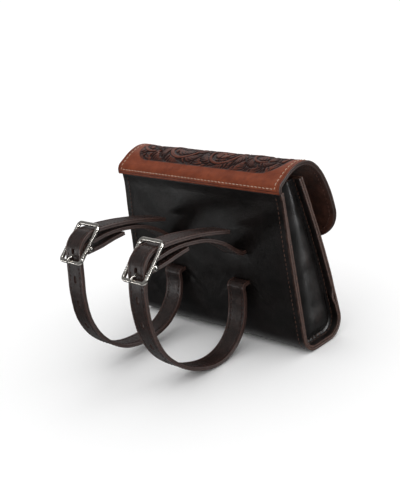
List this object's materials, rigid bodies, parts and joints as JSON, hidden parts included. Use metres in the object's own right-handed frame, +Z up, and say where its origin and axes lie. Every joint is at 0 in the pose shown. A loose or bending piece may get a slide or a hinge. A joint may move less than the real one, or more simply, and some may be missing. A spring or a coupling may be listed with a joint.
{
  "type": "saddle bag",
  "caption": "Small leather bicycle bag with a tooled flap over the front, a snap, and buckled straps that loop from slots in the back panel round a saddle rail or bar.",
  "frame": {"origin": "on the outer face of the back panel, midway between the two straps and midway between the upper and lower strap slots", "axes": "+Z up, +Y out of the back panel towards the bicycle, +X across the bag; the flap hangs over the front at -Y"},
  "size_m": [0.1734, 0.1606, 0.1353],
  "materials": {
    "body_leather": "smooth satin black, finished",
    "tooled_leather": "tooled, antiqued cognac with a gloss finish",
    "flap_lining": "smooth dark brown",
    "strap_leather": "oiled, very dark brown",
    "nickel": "bright nickel plate",
    "steel": "plain drawn wire"
  },
  "bodies": {
    "bag": {"body_wrap": "body_leather", "gusset_left": "body_leather", "gusset_right": "body_leather", "flap_sewn_edge": "tooled_leather", "flap_sewn_edge_lining": "flap_lining", "snap_stud": "nickel", "snap_post": "nickel", "strap_left": "strap_leather", "strap_right": "strap_leather"},
    "flap": {"flap_cover": "tooled_leather", "flap_cover_lining": "flap_lining", "snap_cap": "nickel", "snap_socket": "nickel"},
    "buckle_left": {"buckle_frame_left": "nickel", "buckle_bar_left": "steel"},
    "prong_left": {"prong_left": "nickel"},
    "buckle_right": {"buckle_frame_right": "nickel", "buckle_bar_right": "steel"},
    "prong_right": {"prong_right": "nickel"}
  },
  "joints": [
    {"name": "flap_open", "type": "hinge", "parent": "bag", "child": "flap", "pos_m": [0, -0.0036, 0.0694], "axis": [-1, 0, 0], "range_deg": [-10, 150]},
    {"name": "buckle_pivot_left", "type": "hinge", "parent": "bag", "child": "buckle_left", "pos_m": [-0.033, 0.08683, 0.03354], "axis": [1, 0, 0], "range_deg": [-3, 3]},
    {"name": "prong_lift_left", "type": "hinge", "parent": "buckle_left", "child": "prong_left", "pos_m": [-0.033, 0.08683, 0.03354], "axis": [1, 0, 0], "range_deg": [0, 12]},
    {"name": "buckle_pivot_right", "type": "hinge", "parent": "bag", "child": "buckle_right", "pos_m": [0.033, 0.08619, 0.03596], "axis": [1, 0, 0], "range_deg": [-3, 3]},
    {"name": "prong_lift_right", "type": "hinge", "parent": "buckle_right", "child": "prong_right", "pos_m": [0.033, 0.08619, 0.03596], "axis": [1, 0, 0], "range_deg": [0, 12]}
  ]
}
